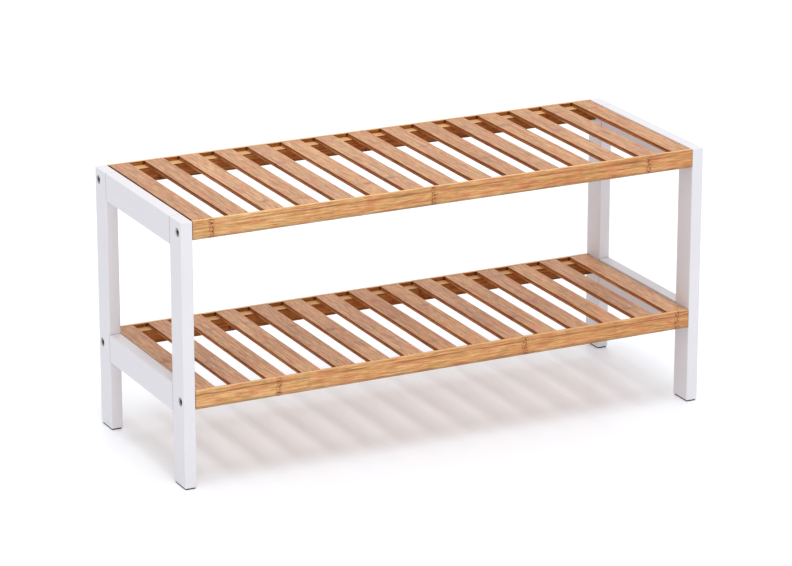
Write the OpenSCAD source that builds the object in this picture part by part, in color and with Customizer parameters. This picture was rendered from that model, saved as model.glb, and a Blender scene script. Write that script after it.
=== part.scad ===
// Low two-tier slatted shoe bench. Two lacquered side frames carry two bamboo shelves.
// Origin: middle of the footprint, at floor level. +X runs along the length, +Y to the back, +Z up.

/* [Overall size] */
// Length over the side frames
overall_length = 700; // [500:10:900]
// Depth, front to back
overall_depth = 260; // [220:5:320]
// Height of the legs and of the upper shelf
overall_height = 330; // [300:5:420]

/* [Side frames] */
// Thickness of the boards that the side frames are cut from
board_thick = 15; // [14:1:20]
// Width of a leg, seen from the side
leg_width = 33; // [32:1:45]
// Height of the rails that join the two legs of a frame
side_rail_height = 35; // [32:1:45]
// Radius of the eased edges of legs and side rails
frame_edge_r = 1.2; // [0.6:0.1:1.6]
// How far the lower side rail stands above the lower shelf
side_rail_rise = 2; // [0:0.5:5]

/* [Feet] */
// Thickness of the rubber pads that the legs stand on
pad_thick = 1.5; // [0.5:0.5:3]
// Distance of a pad's edges from the faces of its leg
pad_inset = 1; // [0.5:0.5:3]

/* [Shelves] */
// Height of the lower shelf's top above the floor
lower_shelf_top = 122; // [100:1:150]
// Height of the front and back shelf rails
rail_height = 23; // [21:0.5:30]
// Depth of a shelf rail, front to back
rail_depth = 18; // [17:0.5:22]
// Thickness of the lip that hides the ends of the slats
lip_thick = 4.5; // [4:0.5:8]
// Number of slats in each shelf
slat_count = 15; // [8:1:17]
// Width of a slat
slat_width = 26; // [18:1:36]
// Thickness of a slat, which is also the depth of the rebate that it lies in
slat_thick = 5; // [4:0.5:6]
// Joint between an end slat and the side frame
end_joint = 2; // [0.5:0.5:3]
// Radius of the eased edges of slats and shelf rails
shelf_edge_r = 0.8; // [0.4:0.1:1.2]

/* [Fasteners] */
// Height of the bolts below the top of their shelf
bolt_drop = 14; // [13:0.5:16]
// Distance of the bolts from the front or back face of the leg
bolt_inset = 10; // [8:0.5:11]
// Length of a bolt under its head
bolt_length = 50; // [40:5:60]
// Distance from the end of a shelf rail to the middle of its barrel nut
nut_setback = 30; // [20:1:35]
// Length of the dowels in the side frames
dowel_length = 30; // [24:1:30]

/* [Hidden] */
$fn = 48;

// M6 socket head bolt and its barrel nut
bolt_d = 6;
bolt_hole_d = 6.6;
bolt_tip = 0.8;
head_d = 10;
head_height = 6;
head_bevel = 0.5;
head_sink = 0.8;
socket_flats = 5;
socket_depth = 3.5;
counterbore_d = 11;
nut_d = 10;
nut_length = 12;
nut_bore_d = 6.1;
nut_hole_play = 0.2;
nut_slot_width = 1.5;
nut_slot_depth = 1;

// Dowels, two in each joint of a side frame
dowel_d = 6;
dowel_bevel = 0.6;
dowel_spacing = 17;
dowel_hole_play = 0.1;
dowel_end_room = 1;

// Room at each end of a slat, inside the lips
slat_end_play = 0.3;

// Radius of the corners of a foot pad
pad_corner_r = 2;

lacquer = [0.93, 0.93, 0.95];
bamboo = [0.80, 0.60, 0.42];
zinc = [0.55, 0.55, 0.54];
beech = [0.80, 0.66, 0.48];
rubber = [0.22, 0.22, 0.23];

inner_length = overall_length - 2 * board_thick;
leg_gap = overall_depth - 2 * leg_width;
shelf_tops = [lower_shelf_top, overall_height];
lower_side_rail_top = lower_shelf_top + side_rail_rise;
side_rail_tops = [lower_side_rail_top, overall_height];
counterbore_depth = head_height + head_sink;
slat_length = overall_depth - 2 * (lip_thick + slat_end_play);
slat_pitch = (inner_length - 2 * end_joint - slat_width) / (slat_count - 1);
dowel_reach = dowel_length / 2;
pad_size = [board_thick - 2 * pad_inset, leg_width - 2 * pad_inset];

function slat_x(i) = -inner_length / 2 + end_joint + (i - 1) * slat_pitch;

// ---- Shared shapes ----

module to_right() mirror([1, 0, 0]) children();

module to_back() mirror([0, 1, 0]) children();

module front_and_back() {
    children();
    to_back() children();
}

module four_corners() {
    front_and_back() children();
    to_right() front_and_back() children();
}

// A rectangle from the origin with rounded corners
module eased_rectangle(size, r) {
    translate([r, 0]) square([size.x - 2 * r, size.y]);
    translate([0, r]) square([size.x, size.y - 2 * r]);
    for (x = [r, size.x - r], y = [r, size.y - r]) translate([x, y]) circle(r);
}

// Extrudes an outline drawn in Y and Z along +X
module along_x(length) rotate([90, 0, 90]) linear_extrude(length) children();

// Extrudes an outline drawn in X and Z along +Y
module along_y(length) translate([0, length, 0]) rotate([90, 0, 0]) linear_extrude(length) children();

// A bar from the origin with every edge eased
module eased_bar(size, r) {
    intersection() {
        linear_extrude(size.z) eased_rectangle([size.x, size.y], r);
        along_x(size.x) eased_rectangle([size.y, size.z], r);
        along_y(size.y) eased_rectangle([size.x, size.z], r);
    }
}

module hole_along_x(d, length) rotate([0, 90, 0]) cylinder(d = d, h = length);

module hole_along_y(d, length) rotate([-90, 0, 0]) cylinder(d = d, h = length);

// ---- Side frames ----

// Puts its children at both dowels of one joint, on the joint's face, at the middle of the board
module at_dowels(rail_top, face_y) {
    middle = rail_top - side_rail_height / 2;
    for (z = [middle - dowel_spacing / 2, middle + dowel_spacing / 2])
        translate([-overall_length / 2 + board_thick / 2, face_y, z]) children();
}

// Dowel holes on both sides of one joint's face
module dowel_holes(rail_top, face_y) {
    reach = dowel_reach + dowel_end_room;
    at_dowels(rail_top, face_y) translate([0, -reach, 0])
        hole_along_y(dowel_d + dowel_hole_play, 2 * reach);
}

// Through hole and counterbore for one rail bolt, from the leg's outer face inwards
module bolt_hole(shelf_top) {
    translate([-overall_length / 2, -overall_depth / 2 + bolt_inset, shelf_top - bolt_drop]) {
        translate([-1, 0, 0]) hole_along_x(counterbore_d, counterbore_depth + 1);
        translate([-1, 0, 0]) hole_along_x(bolt_hole_d, board_thick + 2);
    }
}

// The left front leg, in its place
module leg() {
    difference() {
        translate([-overall_length / 2, -overall_depth / 2, pad_thick])
            eased_bar([board_thick, leg_width, overall_height - pad_thick], frame_edge_r);
        for (top = shelf_tops) bolt_hole(top);
        for (top = side_rail_tops) dowel_holes(top, -leg_gap / 2);
    }
}

// The pad under the left front leg, in its place
module foot_pad() {
    translate([-overall_length / 2 + pad_inset, -overall_depth / 2 + pad_inset, 0])
        linear_extrude(pad_thick) eased_rectangle(pad_size, pad_corner_r);
}

// A side rail of the left frame, in its place, with its top at the height given
module side_rail(rail_top) {
    difference() {
        translate([-overall_length / 2, -leg_gap / 2, rail_top - side_rail_height])
            eased_bar([board_thick, leg_gap, side_rail_height], frame_edge_r);
        for (face_y = [-leg_gap / 2, leg_gap / 2]) dowel_holes(rail_top, face_y);
    }
}

module left_front_leg() color(lacquer) leg();
module left_back_leg() color(lacquer) to_back() leg();
module right_front_leg() color(lacquer) to_right() leg();
module right_back_leg() color(lacquer) to_right() to_back() leg();

module left_front_foot_pad() color(rubber) foot_pad();
module left_back_foot_pad() color(rubber) to_back() foot_pad();
module right_front_foot_pad() color(rubber) to_right() foot_pad();
module right_back_foot_pad() color(rubber) to_right() to_back() foot_pad();

module left_upper_side_rail() color(lacquer) side_rail(overall_height);
module left_lower_side_rail() color(lacquer) side_rail(lower_side_rail_top);
module right_upper_side_rail() color(lacquer) to_right() side_rail(overall_height);
module right_lower_side_rail() color(lacquer) to_right() side_rail(lower_side_rail_top);

// ---- Shelves ----

// Section of the front rail: a lip at the front, and a ledge behind it that the slats lie on
module rail_section() {
    eased_rectangle([rail_depth, rail_height - slat_thick], shelf_edge_r);
    eased_rectangle([lip_thick, rail_height], shelf_edge_r);
}

// Bolt bore and barrel nut hole at the left end of a rail, measured from the rail's lower front corner
module rail_end_holes() {
    bore_z = rail_height - bolt_drop;
    translate([-1, bolt_inset, bore_z]) hole_along_x(bolt_hole_d, bolt_length);
    translate([nut_setback, bolt_inset, -1])
        cylinder(d = nut_d + nut_hole_play, h = bore_z + nut_length / 2 + 1);
}

// A front rail, in its place, with its top at the shelf height given
module shelf_rail(shelf_top) {
    translate([-inner_length / 2, -overall_depth / 2, shelf_top - rail_height]) difference() {
        intersection() {
            along_x(inner_length) rail_section();
            linear_extrude(rail_height) eased_rectangle([inner_length, rail_depth], shelf_edge_r);
            along_y(rail_depth) eased_rectangle([inner_length, rail_height], shelf_edge_r);
        }
        rail_end_holes();
        translate([inner_length, 0, 0]) to_right() rail_end_holes();
    }
}

module slat(i, shelf_top) {
    translate([slat_x(i), -slat_length / 2, shelf_top - slat_thick])
        eased_bar([slat_width, slat_length, slat_thick], shelf_edge_r);
}

module upper_front_rail() color(bamboo) shelf_rail(overall_height);
module upper_back_rail() color(bamboo) to_back() shelf_rail(overall_height);
module lower_front_rail() color(bamboo) shelf_rail(lower_shelf_top);
module lower_back_rail() color(bamboo) to_back() shelf_rail(lower_shelf_top);

module upper_slat(i) color(bamboo) slat(i, overall_height);
module lower_slat(i) color(bamboo) slat(i, lower_shelf_top);

// ---- Fasteners ----

// A socket head bolt that points along +X, with the outer face of its head at the origin
module bolt() {
    rotate([0, 90, 0]) difference() {
        union() {
            cylinder(d1 = head_d - 2 * head_bevel, d2 = head_d, h = head_bevel);
            translate([0, 0, head_bevel]) cylinder(d = head_d, h = head_height - head_bevel);
            cylinder(d = bolt_d, h = head_height + bolt_length - bolt_tip);
            translate([0, 0, head_height + bolt_length - bolt_tip])
                cylinder(d1 = bolt_d, d2 = bolt_d - 2 * bolt_tip, h = bolt_tip);
        }
        translate([0, 0, -1]) cylinder(d = socket_flats / cos(30), h = socket_depth + 1, $fn = 6);
    }
}

// A barrel nut that stands on its slotted end, with its cross bore through the origin along X
module barrel_nut() {
    difference() {
        translate([0, 0, -nut_length / 2]) cylinder(d = nut_d, h = nut_length);
        translate([-nut_d, 0, 0]) hole_along_x(nut_bore_d, 2 * nut_d);
        translate([-nut_d, -nut_slot_width / 2, -nut_length / 2 - 1])
            cube([2 * nut_d, nut_slot_width, nut_slot_depth + 1]);
    }
}

// A dowel along Y, with its middle at the origin and both ends bevelled
module dowel() {
    front_and_back() {
        hole_along_y(dowel_d, dowel_reach - dowel_bevel);
        translate([0, dowel_reach - dowel_bevel, 0]) rotate([-90, 0, 0])
            cylinder(d1 = dowel_d, d2 = dowel_d - 2 * dowel_bevel, h = dowel_bevel);
    }
}

module rail_bolts() {
    color(zinc) four_corners() for (top = shelf_tops)
        translate([-overall_length / 2 + head_sink, -overall_depth / 2 + bolt_inset, top - bolt_drop]) bolt();
}

module barrel_nuts() {
    color(zinc) four_corners() for (top = shelf_tops)
        translate([-inner_length / 2 + nut_setback, -overall_depth / 2 + bolt_inset, top - bolt_drop])
            barrel_nut();
}

module frame_dowels() {
    for (top = side_rail_tops, face_y = [-leg_gap / 2, leg_gap / 2]) at_dowels(top, face_y) dowel();
}

module left_frame_dowels() color(beech) frame_dowels();
module right_frame_dowels() color(beech) to_right() frame_dowels();

// ---- Parts ----

left_front_leg();
left_back_leg();
right_front_leg();
right_back_leg();
left_front_foot_pad();
left_back_foot_pad();
right_front_foot_pad();
right_back_foot_pad();
left_upper_side_rail();
left_lower_side_rail();
right_upper_side_rail();
right_lower_side_rail();
upper_front_rail();
upper_back_rail();
lower_front_rail();
lower_back_rail();
for (i = [1 : slat_count]) upper_slat(i);
for (i = [1 : slat_count]) lower_slat(i);
rail_bolts();
barrel_nuts();
left_frame_dowels();
right_frame_dowels();
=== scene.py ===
"""Looks of a low two-tier slatted shoe bench: white lacquered side frames and bamboo shelves.

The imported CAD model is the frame. Every length is in metres, +X runs along the bench and +Z up.
"""

import math

import bpy
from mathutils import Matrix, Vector


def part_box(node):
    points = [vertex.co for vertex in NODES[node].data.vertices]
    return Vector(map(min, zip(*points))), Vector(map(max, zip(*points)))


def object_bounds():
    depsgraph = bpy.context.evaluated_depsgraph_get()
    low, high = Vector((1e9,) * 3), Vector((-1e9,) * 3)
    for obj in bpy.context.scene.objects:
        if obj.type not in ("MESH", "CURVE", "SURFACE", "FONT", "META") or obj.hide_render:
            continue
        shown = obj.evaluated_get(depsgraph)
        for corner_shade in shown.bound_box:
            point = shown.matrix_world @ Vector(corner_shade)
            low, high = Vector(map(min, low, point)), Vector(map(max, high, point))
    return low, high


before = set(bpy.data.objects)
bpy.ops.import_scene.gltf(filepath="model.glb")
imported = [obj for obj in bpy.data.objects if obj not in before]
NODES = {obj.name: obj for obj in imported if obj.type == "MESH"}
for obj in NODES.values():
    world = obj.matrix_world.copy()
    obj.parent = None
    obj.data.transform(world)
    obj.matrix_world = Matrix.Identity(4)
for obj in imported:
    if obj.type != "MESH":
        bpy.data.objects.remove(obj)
cad_low, cad_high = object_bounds()

SHELVES = ("lower", "upper")
SIDES = ("front", "back")
SLATS = {
    shelf: sorted((n for n in NODES if n.startswith(f"{shelf}_slat_")), key=lambda n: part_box(n)[0].x)
    for shelf in SHELVES
}
RAILS = [f"{shelf}_{side}_rail" for shelf in SHELVES for side in SIDES]
SIDE_RAILS = [n for n in NODES if n.endswith("_side_rail")]
LEGS = [n for n in NODES if n.endswith("_leg")]
FOOT_PADS = [n for n in NODES if n.endswith("_foot_pad")]

# Where the knuckles of the bamboo lie along each shelf rail, in metres from the middle of the bench
RAIL_KNUCKLES = {
    "upper_front_rail": (-0.309, -0.020, 0.275),
    "lower_front_rail": (-0.225, 0.105, 0.320),
    "upper_back_rail": (-0.270, 0.010, 0.295),
    "lower_back_rail": (-0.180, 0.085, 0.330),
}
SLAT_KNUCKLE_SPREAD = 0.20
SLAT_KNUCKLE_LENGTH = 0.007
SLAT_KNUCKLE_HALF_WIDTH = 0.0125
SLAT_KNUCKLE_OFFSET = 0.008
SLAT_SIDE_SHADE = 0.004
KNUCKLE_BOW = 0.004
KNUCKLE_REACH = 0.006
GLUE_LINE_DROP = 0.005
GLUE_LINE_FADE = 0.0016
LOWER_EDGE_SHADE_BAND = 0.004
RAIL_FADE_HALF_LENGTH = 0.3
RAIL_END_DARK_REACH = 0.0014
LIP_CORNER_SHADE_REACH = 0.0035
SEAM_SHADE_WIDTH = 0.0009
FLOOR_HALF_WIDTH = 15.0


# ---- Shader graphs ----


class Graph:
    """Builds one material's node tree."""

    def __init__(self, name):
        self.material = bpy.data.materials.new(name)
        self.material.use_nodes = True
        self.tree = self.material.node_tree
        self.tree.nodes.clear()
        output = self.tree.nodes.new("ShaderNodeOutputMaterial")
        self.shader = self.tree.nodes.new("ShaderNodeBsdfPrincipled")
        self.tree.links.new(self.shader.outputs["BSDF"], output.inputs["Surface"])
        self.coordinates = self.add("TexCoord", {})

    def feed(self, socket, value):
        if isinstance(value, bpy.types.NodeSocket):
            self.tree.links.new(value, socket)
        else:
            socket.default_value = value

    def add(self, kind, inputs, **settings):
        node = self.tree.nodes.new("ShaderNode" + kind)
        for name, value in settings.items():
            setattr(node, name, value)
        for key, value in inputs.items():
            self.feed(node.inputs[key], value)
        return node

    def math(self, operation, *values):
        return self.add("Math", dict(enumerate(values)), operation=operation).outputs[0]

    def total(self, *values):
        result = values[0]
        for value in values[1:]:
            result = self.math("ADD", result, value)
        return result

    def product(self, *values):
        result = values[0]
        for value in values[1:]:
            result = self.math("MULTIPLY", result, value)
        return result

    def nearest(self, *values):
        result = values[0]
        for value in values[1:]:
            result = self.math("MINIMUM", result, value)
        return result

    def most(self, *values):
        result = values[0]
        for value in values[1:]:
            result = self.math("MAXIMUM", result, value)
        return result

    def away(self, value, middle):
        return self.math("ABSOLUTE", self.math("SUBTRACT", value, middle))

    def place(self):
        return self.add("SeparateXYZ", {0: self.coordinates.outputs["Object"]}).outputs[:3]

    def facing(self):
        return self.add("SeparateXYZ", {0: self.coordinates.outputs["Normal"]}).outputs[:3]

    def vector(self, x, y, z):
        return self.add("CombineXYZ", {0: x, 1: y, 2: z}).outputs[0]

    def noise(self, vector, scale, detail=2.0, roughness=0.5):
        inputs = {"Vector": vector, "Scale": scale, "Detail": detail, "Roughness": roughness}
        return self.add("TexNoise", inputs).outputs["Fac"]

    def along(self, length, across, piece, scale, stretch, detail=2.0):
        """Noise drawn out along the fibres."""
        drawn = self.math("MULTIPLY", length, stretch)
        return self.noise(self.vector(across, drawn, piece), scale, detail, 0.6)

    def chance(self, number, salt):
        """A random-looking number from 0 to 1, the same wherever the whole number is the same."""
        turned = self.math("SINE", self.math("MULTIPLY_ADD", number, 12.9898, salt))
        return self.math("FRACT", self.math("MULTIPLY", turned, 43758.5))

    def smooth(self, value, low, high, to_low=0.0, to_high=1.0):
        inputs = {"Value": value, "From Min": low, "From Max": high, "To Min": to_low, "To Max": to_high}
        return self.add("MapRange", inputs, interpolation_type="SMOOTHSTEP").outputs["Result"]

    def mix(self, share, a, b, blend="MIX"):
        node = self.add("Mix", {}, data_type="RGBA", blend_type=blend)
        self.feed(node.inputs[0], share)
        self.feed(node.inputs[6], a)
        self.feed(node.inputs[7], b)
        return node.outputs[2]

    def ramp(self, value, stops):
        node = self.add("ValToRGB", {"Fac": value})
        elements = node.color_ramp.elements
        while len(elements) < len(stops):
            elements.new(0.5)
        for element, (place, colour) in zip(elements, stops):
            element.position = place
            element.color = colour
        return node.outputs["Color"]

    def bump(self, height, strength, distance):
        inputs = {"Height": height, "Strength": strength, "Distance": distance}
        return self.add("Bump", inputs).outputs["Normal"]


def rgb(*values):
    """Linear colour from the 0 to 255 numbers of a colour picker."""
    return (*(((v / 255 + 0.055) / 1.055) ** 2.4 for v in values), 1.0)


def grey(level):
    return (level, level, level, 1.0)


def paint(names, material):
    for name in names:
        slots = NODES[name].data.materials
        slots.clear()
        slots.append(material)


# ---- Bamboo ----

SLAT_TONES = [(0.40, rgb(182, 129, 87)), (0.5, rgb(219, 167, 118)), (0.6, rgb(242, 197, 147))]
RAIL_TONES = [(0.39, rgb(187, 125, 64)), (0.5, rgb(217, 162, 95)), (0.61, rgb(240, 196, 137))]

# These multiply the colour below them
ROSY_TINT = rgb(250, 228, 232)
DULL_TINT = rgb(238, 240, 240)
FIBRE_TINT = rgb(206, 172, 138)
BUNDLE_TINT = rgb(150, 96, 62)
SHELF_PAINTED_LIGHT_TINT = rgb(245, 245, 246)
DARK_SLAT_TINT = rgb(236, 228, 226)
YELLOW_SLAT_TINT = rgb(255, 246, 226)
SAWN_SLAT_TONE_AND_SHADE = rgb(232, 200, 162)
SLAT_SIDE_SHADE_TINT = rgb(150, 126, 110)
RAIL_RIGHT_TINT = rgb(244, 230, 216)
GLUE_TINT = rgb(192, 156, 122)
SAWN_RAIL_TONE_AND_SHADE = rgb(192, 162, 136)
LOWER_EDGE_SHADE_TINT = rgb(208, 219, 230)

# These cover it
SLAT_KNUCKLE = rgb(150, 88, 70)
RAIL_KNUCKLE = rgb(198, 116, 54)
RAIL_KNUCKLE_SPECK = rgb(100, 52, 18)
RAIL_TOP_HIGHLIGHT = rgb(255, 214, 152)
LIP_CORNER_SHADE = rgb(70, 34, 14)
RAIL_END = rgb(96, 56, 36)


def upper_shelf(g, z):
    """1 on the upper shelf and 0 on the lower one."""
    return g.math("GREATER_THAN", z, (cad_low.z + cad_high.z) / 2)


def slat_number(g, x, z):
    """A whole number for each slat, and how far a point lies from the slat's middle, in metres."""
    first, second = (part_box(name) for name in SLATS["upper"][:2])
    pitch = second[0].x - first[0].x
    start = (first[0].x + first[1].x - pitch) / 2
    turn = g.math("DIVIDE", g.math("SUBTRACT", x, start), pitch)
    number = g.math("MULTIPLY_ADD", upper_shelf(g, z), 31.0, g.math("FLOOR", turn))
    return number, g.math("MULTIPLY", g.math("SUBTRACT", g.math("FRACT", turn), 0.5), pitch)


def grain(g, length, across, piece, tones):
    """Colour and relief of bamboo: streaks that wander, short flecks, fine fibres and dark bundles."""
    sway = g.noise(g.vector(length, across, piece), scale=9.0, detail=1.0)
    ripple = g.noise(g.vector(length, across, piece), scale=70.0, detail=1.0)
    bent = g.total(across, g.product(sway, 0.005), g.product(ripple, 0.0012))
    streaks = g.along(length, bent, piece, scale=380, stretch=0.025, detail=4.0)
    flecks = g.along(length, bent, piece, scale=700, stretch=0.06)
    fibres = g.along(length, bent, piece, scale=1500, stretch=0.04)
    bundles = g.along(length, bent, piece, scale=3600, stretch=0.06, detail=1.0)
    blush = g.along(length, across, piece, scale=95, stretch=0.35)

    colour = g.ramp(g.total(g.product(streaks, 0.55), g.product(flecks, 0.45)), tones)
    colour = g.mix(g.smooth(blush, 0.45, 0.65), colour, ROSY_TINT, "MULTIPLY")
    colour = g.mix(g.smooth(blush, 0.35, 0.5, 0.9, 0.0), colour, DULL_TINT, "MULTIPLY")
    colour = g.mix(g.smooth(fibres, 0.45, 0.75, 0.0, 0.6), colour, FIBRE_TINT, "MULTIPLY")
    colour = g.mix(g.smooth(bundles, 0.6, 0.72, 0.0, 0.4), colour, BUNDLE_TINT, "MULTIPLY")
    return colour, streaks, fibres


def finish_bamboo(g, colour, streaks, fibres, sawn_and_shaded):
    """Satin lacquer over the fibres, thinner on the cut faces."""
    g.feed(g.shader.inputs["Base Color"], colour)
    roughness = g.total(g.smooth(fibres, 0.2, 0.8, 0.34, 0.5), g.product(sawn_and_shaded, 0.3))
    g.feed(g.shader.inputs["Roughness"], roughness)
    g.feed(g.shader.inputs["Specular IOR Level"], g.smooth(sawn_and_shaded, 0.0, 1.0, 0.5, 0.12))
    g.feed(g.shader.inputs["Coat Weight"], g.smooth(sawn_and_shaded, 0.0, 1.0, 0.15, 0.0))
    g.shader.inputs["Coat Roughness"].default_value = 0.25
    relief = g.total(g.product(fibres, 0.4), streaks)
    g.feed(g.shader.inputs["Normal"], g.bump(relief, 0.3, 0.0006))
    return g.material


def slat_bamboo():
    """Bamboo of every slat. Each slat has its own shade and one faint knuckle."""
    g = Graph("bamboo_slat")
    x, y, z = g.place()
    side = g.math("ABSOLUTE", g.facing()[0])
    piece, off_middle = slat_number(g, x, z)
    across = g.total(x, z)
    colour, streaks, fibres = grain(g, y, across, piece, SLAT_TONES)
    # painted light: the upper slats are multiplied a shade darker against raised tones, which leaves the
    # lower shelf's slats lighter than their light makes them
    colour = g.mix(upper_shelf(g, z), colour, SHELF_PAINTED_LIGHT_TINT, "MULTIPLY")
    colour = g.mix(g.chance(piece, 1.7), colour, DARK_SLAT_TINT, "MULTIPLY")
    colour = g.mix(g.chance(piece, 3.9), colour, YELLOW_SLAT_TINT, "MULTIPLY")

    spot = g.math("MULTIPLY_ADD", g.chance(piece, 4.1), SLAT_KNUCKLE_SPREAD, -SLAT_KNUCKLE_SPREAD / 2)
    lean = g.math("MULTIPLY_ADD", g.chance(piece, 6.2), 2 * SLAT_KNUCKLE_OFFSET, -SLAT_KNUCKLE_OFFSET)
    bow = g.noise(g.vector(across, piece, 0.0), scale=120, detail=1.0)
    gap = g.away(g.math("MULTIPLY_ADD", bow, KNUCKLE_BOW, y), spot)
    long_reach = g.product(gap, 1 / SLAT_KNUCKLE_LENGTH)
    wide_reach = g.product(g.away(off_middle, lean), 1 / SLAT_KNUCKLE_HALF_WIDTH)
    reach = g.vector(long_reach, wide_reach, 0.0)
    spread = g.add("VectorMath", {0: reach}, operation="LENGTH").outputs["Value"]
    blots = g.along(y, across, piece, scale=260, stretch=0.6)
    blotch = g.product(g.smooth(spread, 0.1, 1.1, 1.0, 0.0), g.smooth(blots, 0.35, 0.6, 0.3, 1.0))
    line = g.product(g.smooth(gap, 0.0003, 0.002, 0.35, 0.0), g.smooth(blots, 0.4, 0.6))
    strength = g.math("MULTIPLY_ADD", g.chance(piece, 8.3), 0.6, 0.4)
    colour = g.mix(g.product(g.most(blotch, line), strength), colour, SLAT_KNUCKLE)

    # painted shade: the slats' cut side faces are tinted darker and browner, partly the cut wood's own
    # tone and partly the shade that falls between the slats
    sawn_and_shaded = g.smooth(side, 0.5, 0.9)
    # painted shade: the slats' side faces are darkened further just below their top edge
    lower_top, upper_top = (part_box(SLATS[shelf][0])[1].z for shelf in SHELVES)
    top_z = g.math("MULTIPLY_ADD", upper_shelf(g, z), upper_top - lower_top, lower_top)
    side_shade_below_top = g.smooth(g.math("SUBTRACT", top_z, z), 0.0, SLAT_SIDE_SHADE, 1.0, 0.0)
    colour = g.mix(sawn_and_shaded, colour, SAWN_SLAT_TONE_AND_SHADE, "MULTIPLY")
    colour = g.mix(g.product(sawn_and_shaded, side_shade_below_top, 0.8), colour, SLAT_SIDE_SHADE_TINT, "MULTIPLY")
    return finish_bamboo(g, colour, streaks, fibres, sawn_and_shaded)


def rail_bamboo(name):
    """Bamboo of one shelf rail, with a glue line and knuckles, darker on its cut inner faces and
    underside, partly the cut wood's tone and partly painted shade.
    """
    g = Graph(f"bamboo_{name}")
    low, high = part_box(name)
    x, y, z = g.place()
    ny, nz = g.facing()[1:]
    piece = float(RAILS.index(name) * 7 + 3)
    across = g.total(y, z)
    colour, streaks, fibres = grain(g, x, across, piece, RAIL_TONES)
    rightness = g.smooth(x, -RAIL_FADE_HALF_LENGTH, RAIL_FADE_HALF_LENGTH)
    colour = g.mix(rightness, colour, RAIL_RIGHT_TINT, "MULTIPLY")

    fade = g.noise(g.vector(x, piece, 0.0), scale=14, detail=2.0)
    off_glue = g.away(g.math("MULTIPLY_ADD", fade, 0.0012, z), high.z - GLUE_LINE_DROP)
    line = g.smooth(off_glue, 0.0, GLUE_LINE_FADE, 0.9, 0.0)
    glue = g.product(line, g.smooth(fade, 0.35, 0.55, 0.3, 1.0))
    colour = g.mix(glue, colour, GLUE_TINT, "MULTIPLY")

    bow = g.noise(g.vector(across, piece, 0.0), scale=160, detail=1.0)
    bent = g.math("MULTIPLY_ADD", bow, KNUCKLE_BOW, x)
    gap = g.nearest(*(g.away(bent, spot) for spot in RAIL_KNUCKLES[name]))
    blots = g.along(x, across, piece, scale=240, stretch=0.7)
    halo = g.product(g.smooth(gap, 0.0, KNUCKLE_REACH, 1.0, 0.0), g.smooth(blots, 0.38, 0.6, 0.1, 0.9))
    colour = g.mix(halo, colour, RAIL_KNUCKLE)
    specks = g.along(x, across, piece, scale=430, stretch=0.9, detail=3.0)
    near = g.smooth(gap, 0.001, KNUCKLE_REACH, 1.0, 0.0)
    colour = g.mix(g.product(near, g.smooth(specks, 0.5, 0.57)), colour, RAIL_KNUCKLE_SPECK)

    inward = 1.0 if low.y < 0 else -1.0
    # painted shade: the rails' inward faces and undersides are tinted darker, partly the cut wood's own
    # tone and partly the shade that falls under the slats
    sawn_and_shaded = g.most(g.smooth(g.product(ny, inward), 0.4, 0.9), g.smooth(g.product(nz, -1.0), 0.5, 0.9))
    colour = g.mix(sawn_and_shaded, colour, SAWN_RAIL_TONE_AND_SHADE, "MULTIPLY")
    # painted highlight: the rails' upward-facing faces are mixed halfway towards a light tan
    colour = g.mix(g.smooth(nz, 0.5, 0.9, 0.0, 0.5), colour, RAIL_TOP_HIGHLIGHT)

    # painted shade: dark brown on the lip's inner face beside each slat, in the corner where the slats
    # meet the lip
    slat_low, slat_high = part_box(SLATS[name.split("_")[0]][0])
    off_middle = g.math("ABSOLUTE", slat_number(g, x, z)[1])
    off_slat = g.math("SUBTRACT", off_middle, (slat_high.x - slat_low.x) / 2)
    on_lip = g.product(g.math("GREATER_THAN", z, slat_low.z), g.smooth(g.product(ny, inward), 0.4, 0.9))
    corner_shade = g.product(on_lip, g.smooth(off_slat, 0.001, LIP_CORNER_SHADE_REACH, 0.85, 0.0))
    colour = g.mix(corner_shade, colour, LIP_CORNER_SHADE)

    # painted shade: the bottom few millimetres of each rail are darker and bluer
    lower_edge_shade = g.smooth(g.math("SUBTRACT", z, low.z), LOWER_EDGE_SHADE_BAND / 3, LOWER_EDGE_SHADE_BAND, 1.0, 0.0)
    colour = g.mix(lower_edge_shade, colour, LOWER_EDGE_SHADE_TINT, "MULTIPLY")
    # darker brown within a millimetre and a half of each rail end, where it butts against a leg
    end = g.smooth(g.nearest(g.away(x, low.x), g.away(x, high.x)), 0.0, RAIL_END_DARK_REACH, 0.75, 0.0)
    colour = g.mix(end, colour, RAIL_END)
    return finish_bamboo(g, colour, streaks, fibres, sawn_and_shaded)


# ---- Lacquer, steel and dowels ----


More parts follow.
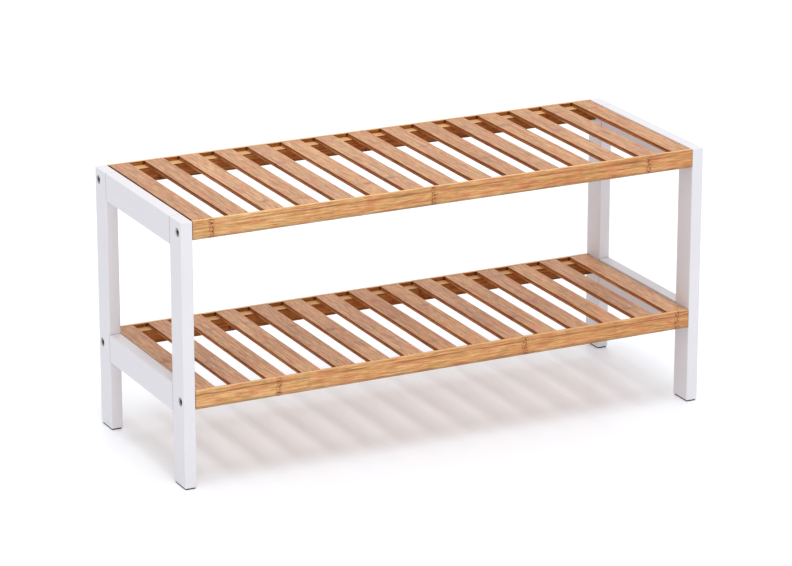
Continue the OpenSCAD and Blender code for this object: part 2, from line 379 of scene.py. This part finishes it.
def white_lacquer():
    """White lacquer with faint grain under it, and a fine dark line of painted shade in the joint
    between leg and side rail.
    """
    g = Graph("white_lacquer")
    x, y, z = g.place()
    drift = g.noise(g.coordinates.outputs["Object"], 14, 2.0)
    colour = g.mix(drift, (0.745, 0.727, 0.76, 1.0), (0.785, 0.767, 0.795, 1.0))

    joints = [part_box(name) for name in SIDE_RAILS if name.startswith("left")]
    seam_y = joints[0][1].y
    height = joints[0][1].z - joints[0][0].z
    middles = [(low.z + high.z) / 2 for low, high in joints]
    at_rail = g.most(*(g.math("LESS_THAN", g.away(z, middle), height / 2) for middle in middles))
    off_seam = g.away(g.math("ABSOLUTE", y), seam_y)
    on_side = g.smooth(g.facing()[2], 0.5, 0.9, 1.0, 0.2)
    # painted shade: a fine dark line in the joint's groove on the side faces, fainter on top faces
    seam_shade = g.product(g.smooth(off_seam, 0.0, SEAM_SHADE_WIDTH, 0.8, 0.0), at_rail, on_side)
    g.feed(g.shader.inputs["Base Color"], g.mix(seam_shade, colour, grey(0.16)))

    peel = g.noise(g.coordinates.outputs["Object"], 900, 2.0)
    pores = g.noise(g.vector(x, g.product(y, 0.35), g.product(z, 0.06)), 420, 2.0)
    g.feed(g.shader.inputs["Roughness"], g.smooth(drift, 0.3, 0.7, 0.46, 0.56))
    g.shader.inputs["Specular IOR Level"].default_value = 0.3
    g.feed(g.shader.inputs["Normal"], g.bump(g.total(g.product(peel, 0.4), pores), 0.12, 0.0003))
    return g.material


def zinc():
    """Zinc plated steel, with painted shade in the hex sockets and round the heads."""
    g = Graph("zinc_steel")
    x = g.place()[0]
    cells = g.add("TexVoronoi", {"Vector": g.coordinates.outputs["Object"], "Scale": 900})
    spangle = cells.outputs["Distance"]
    colour = g.mix(spangle, (0.22, 0.19, 0.155, 1.0), (0.34, 0.30, 0.25, 1.0))
    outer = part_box("rail_bolts")[1].x
    depth = g.math("SUBTRACT", outer, g.math("ABSOLUTE", x))
    # painted shade: the steel turns nearly black with depth below the bolts' outer face, in the sockets
    # and recesses
    g.feed(g.shader.inputs["Base Color"], g.mix(g.smooth(depth, 0.0003, 0.0014), colour, grey(0.003)))
    g.feed(g.shader.inputs["Roughness"], g.smooth(spangle, 0.0, 0.8, 0.35, 0.55))
    g.shader.inputs["Metallic"].default_value = 1.0
    return g.material


def foot_rubber():
    """Matt dark grey rubber with a fine pebble."""
    g = Graph("foot_rubber")
    pebble = g.noise(g.coordinates.outputs["Object"], 1800, 2.0)
    g.feed(g.shader.inputs["Base Color"], g.mix(pebble, grey(0.006), grey(0.018)))
    g.feed(g.shader.inputs["Normal"], g.bump(pebble, 0.4, 0.0002))
    g.shader.inputs["Roughness"].default_value = 0.85
    g.shader.inputs["Specular IOR Level"].default_value = 0.08
    return g.material


def beech():
    """Bare beech of the dowels."""
    g = Graph("beech_dowel")
    x, y, z = g.place()
    pores = g.noise(g.vector(x, g.product(y, 0.08), z), scale=1400)
    tones = [(0.3, rgb(176, 132, 88)), (0.7, rgb(214, 176, 130))]
    g.feed(g.shader.inputs["Base Color"], g.ramp(pores, tones))
    g.shader.inputs["Roughness"].default_value = 0.7
    return g.material


paint(SLATS["upper"] + SLATS["lower"], slat_bamboo())
for rail in RAILS:
    paint([rail], rail_bamboo(rail))
paint(LEGS + SIDE_RAILS, white_lacquer())
paint(FOOT_PADS, foot_rubber())
paint(["rail_bolts", "barrel_nuts"], zinc())
paint(["left_frame_dowels", "right_frame_dowels"], beech())


# ---- Stage, light and camera ----


def make_floor():
    """A white floor with a little light of its own, which keeps it bright and softens the shadows."""
    half = FLOOR_HALF_WIDTH
    corners = [(-half, -half, 0), (half, -half, 0), (half, half, 0), (-half, half, 0)]
    mesh = bpy.data.meshes.new("floor")
    mesh.from_pydata(corners, [], [(0, 1, 2, 3)])
    floor = bpy.data.objects.new("floor", mesh)
    bpy.context.scene.collection.objects.link(floor)
    g = Graph("studio_floor")
    g.shader.inputs["Base Color"].default_value = (0.85, 0.885, 0.94, 1)
    g.shader.inputs["Roughness"].default_value = 0.35
    g.shader.inputs["Emission Color"].default_value = (1, 1, 1, 1)
    g.shader.inputs["Emission Strength"].default_value = 0.17
    mesh.materials.append(g.material)


def add_lamp(light, place, aim):
    lamp = bpy.data.objects.new(light.name, light)
    lamp.location = place
    lamp.rotation_euler = (Vector(aim) - Vector(place)).to_track_quat("-Z", "Y").to_euler()
    bpy.context.scene.collection.objects.link(lamp)


def softbox(name, width, length, power, place, aim):
    light = bpy.data.lights.new(name, "AREA")
    light.shape = "RECTANGLE"
    light.size, light.size_y = width, length
    light.energy = power
    add_lamp(light, place, aim)


def make_world(strength):
    """Even studio light all round."""
    world = bpy.data.worlds.new("studio")
    world.use_nodes = True
    tree = world.node_tree
    tree.nodes.clear()
    output = tree.nodes.new("ShaderNodeOutputWorld")
    background = tree.nodes.new("ShaderNodeBackground")
    background.inputs["Color"].default_value = (1, 1, 1, 1)
    background.inputs["Strength"].default_value = strength
    tree.links.new(background.outputs[0], output.inputs["Surface"])
    bpy.context.scene.world = world


def make_camera():
    """The photograph's viewing angle: from the left of the front, looking down."""
    data = bpy.data.cameras.new("camera")
    data.sensor_width = 36.0
    data.lens = 169.7
    data.clip_end = 60.0
    camera = bpy.data.objects.new("camera", data)
    camera.location = (-1.960, -3.912, 1.605)
    camera.rotation_euler = (math.radians(90 - 18.18), 0.0, math.radians(-26.52))
    bpy.context.scene.collection.objects.link(camera)
    bpy.context.scene.camera = camera


make_floor()
softbox("overhead", 2.4, 6.0, 400, (-0.5, -2.0, 10.0), (0.0, 0.0, 0.0))
softbox("back_light", 1.2, 1.2, 45, (1.8, 3.4, 6.0), (0.0, 0.0, 0.0))
softbox("front_fill", 2.4, 1.6, 15, (-1.2, -3.0, 1.7), (0.0, 0.0, 0.15))
make_world(0.72)
make_camera()
bpy.context.scene.view_settings.view_transform = "Standard"
